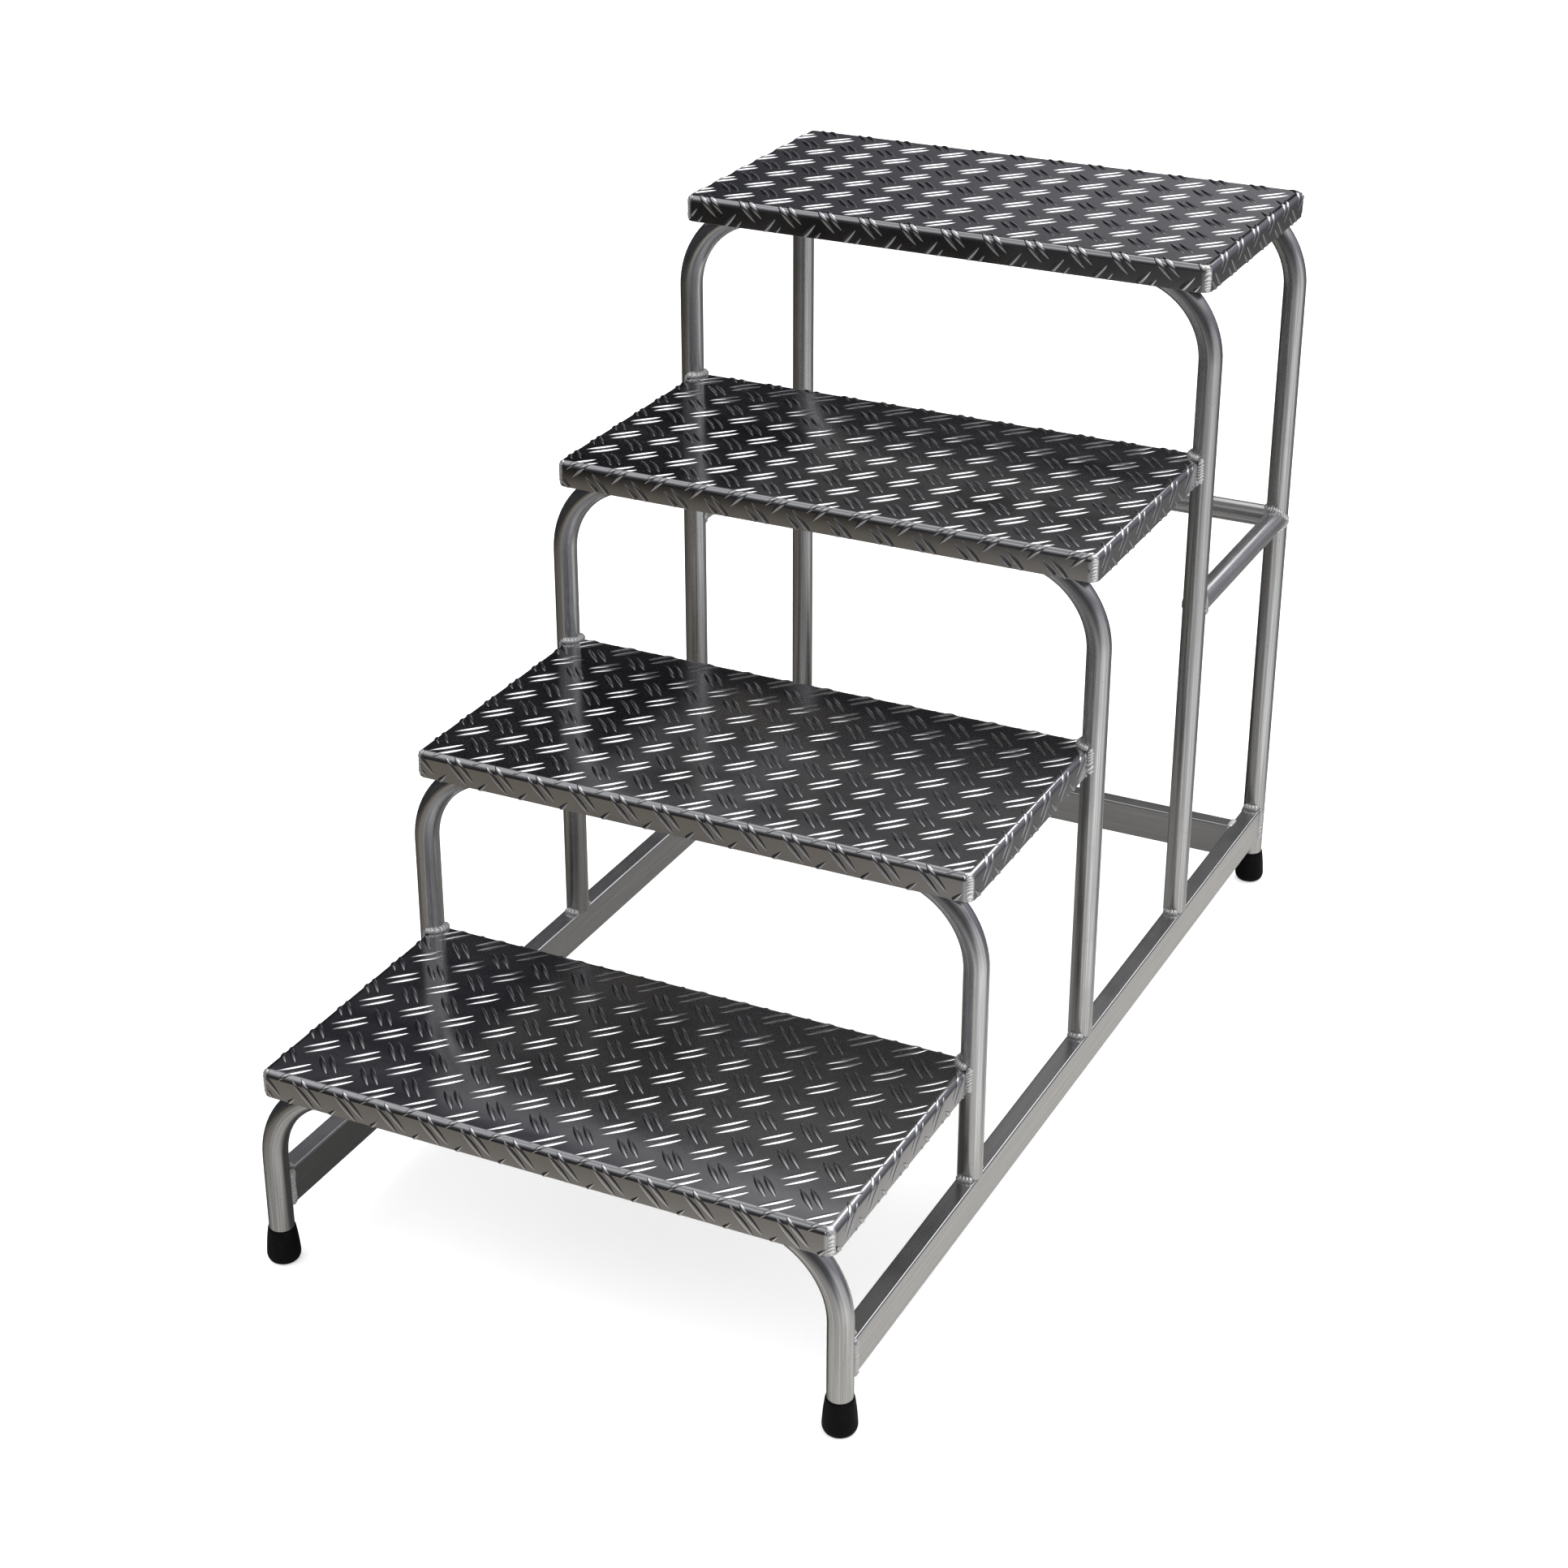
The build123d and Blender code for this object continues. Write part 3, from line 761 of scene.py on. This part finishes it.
def add_bead(shape, places, normals, width, height, seed, sink=BEAD_DEPTH):
    """A rippled bead along places, standing out along normals, rounded off at both ends."""
    points = [Vector(place) for place in places]
    outs = [Vector(normal).normalized() for normal in normals]
    lengths = [0.0]
    for first, second in zip(points, points[1:]):
        lengths.append(lengths[-1] + (second - first).length)
    total = lengths[-1]
    count = max(FEWEST_BEAD_ROWS, round(total / RIPPLE * RIPPLE_STEPS))
    weld_places.extend(points)
    swelling, swell_length, swell_phase = SWELLING
    sections, crowns = [], []
    leg = 0
    for k in range(count + 1):
        distance = total * k / count
        while leg < len(lengths) - 2 and lengths[leg + 1] < distance:
            leg += 1
        share = (distance - lengths[leg]) / (lengths[leg + 1] - lengths[leg])
        place = points[leg].lerp(points[leg + 1], share)
        out = outs[leg].lerp(outs[leg + 1], share).normalized()
        ahead = points[min(leg + 2, len(points) - 1)] - points[max(leg - 1, 0)]
        side = ahead.cross(out).normalized()
        near_end = min(distance, total - distance) / (0.5 * width)
        swell = sqrt(max(0.0, 1 - (1 - min(1.0, near_end)) ** 2))
        swell = max(BEAD_BLUNTNESS, swell)
        swell *= 1 + swelling * sin(distance / swell_length + swell_phase * seed)
        section = []
        for step in range(BEAD_SIDES + 1):
            across = 2 * step / BEAD_SIDES - 1
            ripple = ripple_at(distance, across, seed)
            rise = (1 - across * across) ** BEAD_ROUNDNESS * (1 - RIPPLE_DEPTH + RIPPLE_DEPTH * ripple)
            section.append(place + side * (across * width / 2 * swell) + out * (rise * height * swell))
            crowns.append(ripple * (1 - across * across))
        for across in (BEAD_ROOT, -BEAD_ROOT):
            section.append(place + side * (across * width / 2 * swell) - out * (sink * swell))
            crowns.append(0.0)
        sections.append(section)
    shape.add(*closed_strip(sections), crown=crowns)


def add_ring(shape, centre, start, sweep, leg, seed):
    """A fillet bead round an upright tube on a level face, angles in degrees from +X."""
    places, normals = [], []
    for k in range(RING_STEPS + 1):
        angle = radians(start + sweep * k / RING_STEPS)
        ray = Vector((cos(angle), sin(angle), 0))
        places.append(Vector(centre) + ray * (TUBE_RADIUS + leg / 2) + Vector((0, 0, leg / 2)))
        normals.append(ray + Vector((0, 0, 1)))
    width, height, sink = (share * leg for share in RING_PROFILE)
    add_bead(shape, places, normals, width, height, seed, sink)


def add_rail_ring(shape, side, y, facing, leg, seed):
    """A bead on top of a rail, round the front or the rear of a leg."""
    start = 90 * facing - RAIL_RING_SWEEP / 2
    add_ring(shape, (side * LEG_X, y, RAIL_TOP), start, RAIL_RING_SWEEP, leg, seed)


def add_upright(shape, x, y, bottom, top, normal, size, seed):
    """A bead up the corner between two upright faces."""
    places = [(x, y, bottom), (x, y, (bottom + top) / 2), (x, y, top)]
    add_bead(shape, places, [(*normal, 0)] * 3, *size, seed)


def weld_piece(name, shape, material, node):
    """Put the beads of one shape into the scene."""
    make_piece(name, make_mesh(name, shape), material, [node], sharp=70)


def make_leg_welds(material):
    """Where a middle leg passes the rear corner of the tread in front of it."""
    for index in MIDDLE_HOOPS:
        shape = Shape()
        y = HOOP_YS[index]
        low, high = tread_boxes[index - 1]
        plate_top = high.z - STUD_HEIGHT
        half_gap = sqrt(TUBE_RADIUS ** 2 - (high.y - y) ** 2)
        for side in SIDES.values():
            seed = 3.1 * index + side
            start = RING_START if side > 0 else 180 - RING_START - RING_SWEEP
            add_ring(shape, (side * LEG_X, y, plate_top), start, RING_SWEEP, FILLET, seed)
            add_upright(shape, side * (high.x + 1.2 * MM), y - TUBE_RADIUS + 1.2 * MM, low.z + 1 * MM,
                        plate_top + 2 * MM, (side, -0.55), LEG_OUTER_BEAD, seed + 1)
            add_upright(shape, side * (LEG_X - half_gap - 1 * MM), high.y + 0.2 * MM, low.z + 1 * MM,
                        plate_top + 1 * MM, (-0.4 * side, 1), LEG_INNER_BEAD, seed + 2)
        weld_piece(f"leg_beads_{index + 1}", shape, material, f"leg_welds_{index + 1}")


def make_corner_seams(material):
    """The welded and half-dressed corners of the pans, wrapped round the corner and over its top."""
    for step, box in enumerate(tread_boxes):
        pan = Pan(box)
        shape = Shape()
        corners = [(1, -1), (-1, -1)]
        if step == TOP_TREAD:
            corners += [(1, 1), (-1, 1)]
        seam_bottom = pan.bottom + 0.8 * MM
        fold_start = pan.top - FOLD_RADIUS
        for side_x, side_y in corners:
            centre = pan.corner_centre(side_x, side_y)
            out = Vector((side_x, side_y, 0)).normalized()
            places, normals = [], []
            for k in range(SEAM_STEPS + 1):
                z = seam_bottom + (fold_start - seam_bottom) * k / SEAM_STEPS
                places.append(Vector((*centre, z)) + out * (CORNER_RADIUS - SEAM_DEPTH))
                normals.append(out)
            for k in range(1, SEAM_STEPS):
                angle = SEAM_ARC_STEP * k
                radius = CORNER_RADIUS - FOLD_RADIUS + FOLD_RADIUS * cos(angle)
                z = fold_start + FOLD_RADIUS * sin(angle)
                normal = out * cos(angle) + Vector((0, 0, sin(angle)))
                places.append(Vector((*centre, z)) + out * radius - normal * SEAM_DEPTH)
                normals.append(normal)
            add_bead(shape, places, normals, *CORNER_SEAM, seed=2.0 * step + side_x)
        weld_piece(f"corner_seams_{step + 1}", shape, material, f"corner_welds_{step + 1}")


def make_stitches(material):
    """Short beads between the top of each hoop and the underside of its tread."""
    for index, (y, top) in enumerate(zip(HOOP_YS, HOOP_TOPS)):
        inward = -1 if y == HOOP_YS[-1] else 1
        shape = Shape()
        for x in (-STITCH_SPACING, 0, STITCH_SPACING):
            place_y = y + inward * STITCH_PLACE[0] * TUBE_RADIUS
            place_z = top + STITCH_PLACE[1] * TUBE_RADIUS
            places = [(x + offset * STITCH_LENGTH, place_y, place_z) for offset in (-0.5, 0, 0.5)]
            add_bead(shape, places, [(0, inward, -0.9)] * 3, *STITCH, seed=index + x * 9)
        weld_piece(f"stitch_beads_{index + 1}", shape, material, f"hoop_stitches_{index + 1}")


def make_rail_welds(material):
    """Rings at the foot of each middle leg, and beads up both sides of a rail's coped ends."""
    for name, side in SIDES.items():
        shape = Shape()
        for y, facing in ((HOOP_YS[0], 1), (HOOP_YS[-1], -1)):
            add_rail_ring(shape, side, y, facing, RAIL_END_FILLET, seed=y + side)
            for edge in (-1, 1):
                edge_x = side * RAIL_X + edge * RAIL_HALF
                reach = sqrt(TUBE_RADIUS ** 2 - (edge_x - side * LEG_X) ** 2)
                add_upright(shape, edge_x, y + facing * (reach + 2.6 * MM), RAIL_BOTTOM, RAIL_TOP,
                            (edge, 0.2 * facing), RAIL_END_BEAD, seed=y + edge)
        for index in MIDDLE_HOOPS:
            for facing in (-1, 1):
                add_rail_ring(shape, side, HOOP_YS[index], facing, RAIL_FILLET, seed=index + facing + side)
        weld_piece(f"rail_beads_{name}", shape, material, f"rail_welds_{name}")


def make_cross_rail_welds(material):
    """Beads up both sides and along the top of the cross rail's ends."""
    shape = Shape()
    inner = RAIL_X - RAIL_HALF
    for side in SIDES.values():
        for edge, y in ((-1, cross_low.y), (1, cross_high.y)):
            add_upright(shape, side * (inner - 0.8 * MM), y + edge * 0.8 * MM, RAIL_BOTTOM + 1 * MM, RAIL_TOP,
                        (-side, edge), CROSS_RAIL_SIDE_BEAD, seed=edge + side)
        places = [(side * inner, cross_low.y + share * (cross_high.y - cross_low.y), RAIL_TOP - 0.4 * MM)
                  for share in (0, 0.5, 1)]
        add_bead(shape, places, [(0, 0, 1)] * 3, *CROSS_RAIL_TOP_BEAD, seed=5 + side)
    weld_piece("cross_rail_beads", shape, material, "cross_rail_welds")


def add_saddle(shape, leg_y, leg_x, along, seed):
    """A bead round the fish-mouthed end of a tube that meets an upright leg, along a level direction."""
    forward = Vector(along)
    sideways = Vector((-forward.y, forward.x, 0))
    places, normals = [], []
    for k in range(SADDLE_STEPS + 1):
        angle = 2 * pi * k / SADDLE_STEPS
        reach = TUBE_RADIUS * abs(sin(angle))
        on_tube = sideways * cos(angle) + Vector((0, 0, sin(angle)))
        on_leg = sideways * cos(angle) + forward * abs(sin(angle))
        normal = (on_tube + on_leg).normalized()
        place = Vector((leg_x, leg_y, BRACE_Z)) + forward * reach + on_tube * TUBE_RADIUS
        places.append(place + normal * 0.6 * MM)
        normals.append(normal)
    add_bead(shape, places, normals, *SADDLE, seed, sink=2 * MM)


def make_brace_welds(material):
    """Beads round the ends of the brace tubes, and a lump in the corner above each rear joint."""
    side_shape = Shape()
    cross_shape = Shape()
    for side in SIDES.values():
        add_saddle(side_shape, HOOP_YS[-2], side * LEG_X, (0, 1, 0), 1 + side)
        add_saddle(side_shape, HOOP_YS[-1], side * LEG_X, (0, -1, 0), 4 + side)
        add_saddle(cross_shape, HOOP_YS[-1], side * LEG_X, (-side, 0, 0), 7 + side)
        lump_y = HOOP_YS[-1] - TUBE_RADIUS - 1 * MM
        lump_z = BRACE_Z + TUBE_RADIUS + 0.5 * MM
        places = [(side * LEG_X + offset, lump_y, lump_z) for offset in (-8 * MM, 0, 6 * MM)]
        add_bead(side_shape, places, [(0, -0.5, 1)] * 3, *LUMP, seed=11 + side, sink=3 * MM)
    weld_piece("side_tube_beads", side_shape, material, "side_tube_welds")
    weld_piece("cross_tube_beads", cross_shape, material, "cross_tube_welds")


# ---------------------------------------------------------------- feet

def make_feet(material):
    """Rubber ferrules: a thin rim round the tube, widest near the floor, rounded under."""
    radius = (foot_high.x - foot_low.x) / 2
    height = foot_high.z
    sole = 11 * MM
    widest = 9 * MM
    rim = TUBE_RADIUS + 1.3 * MM
    profile = [(sole - 3 * MM, 1.0 * MM), (sole - 2 * MM, 0.0), (sole, 0.0)]
    for k in range(1, FOOT_ROUNDING_STEPS + 1):
        angle = pi / 2 * k / FOOT_ROUNDING_STEPS
        profile.append((sole + (radius - sole) * sin(angle), widest * (1 - cos(angle))))
    for k in range(1, FOOT_WALL_STEPS + 1):
        share = k / FOOT_WALL_STEPS
        bulge = 0.35 * MM * sin(pi * share)
        profile.append((radius + (rim - radius) * share + bulge,
                        widest + (height - 1.2 * MM - widest) * share))
    profile += [(rim - 0.3 * MM, height - 0.35 * MM), (TUBE_RADIUS + 0.5 * MM, height),
                (TUBE_RADIUS + 0.1 * MM, height - 0.5 * MM), (TUBE_RADIUS - 0.6 * MM, height - 4 * MM)]
    for place in ("front", "rear"):
        for name in SIDES:
            node = f"foot_{place}_{name}"
            low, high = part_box(node)
            x, y = (low.x + high.x) / 2, (low.y + high.y) / 2
            shape = Shape()
            shape.add(*closed_strip([circle(x, y, z, out, FOOT_SIDES) for out, z in profile]))
            make_piece(f"ferrule_{place}_{name}", make_mesh(node + "_rubber", shape), material,
                       [node], sharp=50)


# ---------------------------------------------------------------- studio

def make_world():
    """A soft studio tent for gloss, with a small bright skylight, and even white light for what is matt."""
    world = bpy.data.worlds.new("studio")
    bpy.context.scene.world = world
    world.use_nodes = True
    sky = Nodes(world.node_tree)
    direction = sky.node("TexCoord").outputs["Generated"]
    split = sky.node("SeparateXYZ", {0: direction})

    def ramp(stops):
        """Colours that follow the height of the direction."""
        place = sky.spread(split.outputs["Z"], -1.0, 1.0)
        made = sky.node("ValToRGB", {"Fac": place})
        elements = made.color_ramp.elements
        while len(elements) > 1:
            elements.remove(elements[0])
        elements[0].position = (stops[0][0] + 1) / 2
        elements[0].color = (*stops[0][1], 1)
        for height, colour in stops[1:]:
            elements.new((height + 1) / 2).color = (*colour, 1)
        return made.outputs["Color"]

    def patch(towards, inner, outer, strength):
        """A round bright patch of sky: strength inside the inner cosine, nothing outside the outer one."""
        facing = sky.node("VectorMath", {0: direction, 1: Vector(towards).normalized()},
                          operation="DOT_PRODUCT").outputs["Value"]
        return sky.spread(facing, outer, inner, 0.0, strength, interpolation_type="SMOOTHSTEP")

    def turned(axis, low, high, first, second):
        """One colour where the direction's component is low, the other where it is high."""
        return sky.blend(sky.spread(split.outputs[axis], low, high), first, second)

    back = ramp(FIRST_BACK_WALL)
    for low, high, stops in BACK_WALLS:
        back = turned("X", low, high, back, ramp(stops))
    front = turned("X", *FRONT_LEFT_TO_RIGHT, ramp(LOWER_FRONT_LEFT + WALLS_FRONT),
                   ramp(LOWER_FRONT_RIGHT + WALLS_FRONT))
    tent = turned("Y", *FRONT_TO_BACK, front, back)
    lamps = sky.calculate("ADD", patch(*LAMP), patch(*SIDE_LIGHT))
    glow = sky.calculate("ADD", patch(*SKYLIGHT), lamps)
    lit = sky.blend(1.0, tent, glow, "ADD")
    is_gloss = sky.node("LightPath").outputs["Is Glossy Ray"]
    shown = sky.blend(is_gloss, MATT_LIGHT, lit)
    sky.tree.links.new(shown, sky.tree.nodes["Background"].inputs["Color"])


def make_square(name, half, height, material):
    """A level square of floor."""
    mesh = bpy.data.meshes.new(name)
    corners = [(-half, -half), (half, -half), (half, half), (-half, half)]
    mesh.from_pydata([(x, y, height) for x, y in corners], [], [(0, 1, 2, 3)])
    mesh.materials.append(material)
    square = bpy.data.objects.new(name, mesh)
    bpy.context.scene.collection.objects.link(square)
    return square


def make_floor():
    """A plain pale floor. Polished metal doesn't mirror it, so that it takes its tones from the tent."""
    shader = Shader("floor_paint", Base_Color=FLOOR_COLOUR, Roughness=0.9, Specular_IOR_Level=0.0,
                    Emission_Color=(1, 1, 1, 1), Emission_Strength=FLOOR_GLOW)
    floor = make_square("floor", FLOOR_HALF, 0, shader.finish())
    floor.visible_glossy = False


def make_painted_floor_reflection():
    """The floor round the block as the metal mirrors it, on a glowing card: painted shade below the block,
    painted light just outside.
    """
    shader = Shader("painted_floor_reflection_tone")
    split = shader.node("SeparateXYZ", {0: shader.object_place()})
    x, y = split.outputs["X"], split.outputs["Y"]

    def farther(first, second):
        return shader.calculate("MAXIMUM", first, second)

    def difference(first, second):
        return shader.calculate("SUBTRACT", first, second)

    lit_side = farther(difference(x, cad_high.x), difference(cad_low.y, y))
    shaded_side = farther(difference(cad_low.x, x), difference(y, cad_high.y))
    off_middle = shader.calculate("ABSOLUTE", difference(y, SHADE_MIDDLE))
    shade = shader.calculate("MULTIPLY", shader.spread(off_middle, *SHADE_ENDS, *SHADE),
                             shader.spread(shaded_side, *SHADE_EDGE, 1.0, EDGE_SHARE))
    pale = shader.spread(x, *PALE_REACH, *PAINTED_LIT_FLOOR)
    tone = shader.spread(lit_side, *LIT_EDGE, shade, pale, interpolation_type="SMOOTHSTEP")
    fade = shader.spread(farther(lit_side, shaded_side), *CARD_FADE, interpolation_type="SMOOTHSTEP")
    # painted shade and painted light: the card glows with these tones where the metal would mirror the
    # floor's shadow and its lit surround
    glow = shader.node("Emission", {"Color": PAINTED_REFLECTION_COLOUR, "Strength": tone})
    clear = shader.node("BsdfTransparent")
    mixed = shader.node("MixShader", {0: fade, 1: glow.outputs[0], 2: clear.outputs[0]})
    shader.tree.links.new(mixed.outputs[0], shader.tree.nodes["Material Output"].inputs["Surface"])
    floor = make_square("painted_floor_reflection", PAINTED_REFLECTION_HALF, PAINTED_REFLECTION_HEIGHT, shader.material)
    floor.visible_camera = False
    floor.visible_diffuse = False
    floor.visible_shadow = False
    floor.visible_transmission = False


def make_camera():
    """From the front and a little to the right, looking down on the treads."""
    data = bpy.data.cameras.new("camera")
    data.lens = CAMERA_LENS
    data.sensor_width = SENSOR_WIDTH
    camera = bpy.data.objects.new("camera", data)
    camera.location = CAMERA_PLACE
    camera.rotation_euler = CAMERA_ANGLES
    bpy.context.scene.collection.objects.link(camera)
    bpy.context.scene.camera = camera


# ---------------------------------------------------------------- assembly

def paint(node, material):
    """Give a CAD node that is shown as it is a better material."""
    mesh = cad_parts[node].data
    mesh.materials.clear()
    mesh.materials.append(material)


weld_metal = make_weld_metal()
make_leg_welds(weld_metal)
make_corner_seams(weld_metal)
make_stitches(weld_metal)
make_rail_welds(weld_metal)
make_cross_rail_welds(weld_metal)
make_brace_welds(weld_metal)
make_treads(make_checker_metal())
make_hoops(make_tube_metal("drawn_tube", (1.0, 1.0, 0.012), True))
make_feet(make_rubber())

long_rail = make_rail_metal("extruded_rail", (1.0, 0.012, 1.0))
for side_name in SIDES:
    paint(f"base_rail_{side_name}", long_rail)
paint("cross_rail", make_rail_metal("extruded_cross_rail", (0.012, 1.0, 1.0)))
side_tube = make_tube_metal("drawn_side_tube", (1.0, 0.012, 1.0), False)
for side_name in SIDES:
    paint(f"side_tube_{side_name}", side_tube)
paint("cross_tube", make_tube_metal("drawn_cross_tube", (0.012, 1.0, 1.0), False))

make_world()
make_floor()
make_painted_floor_reflection()
make_camera()
bpy.context.scene.view_settings.view_transform = "Standard"
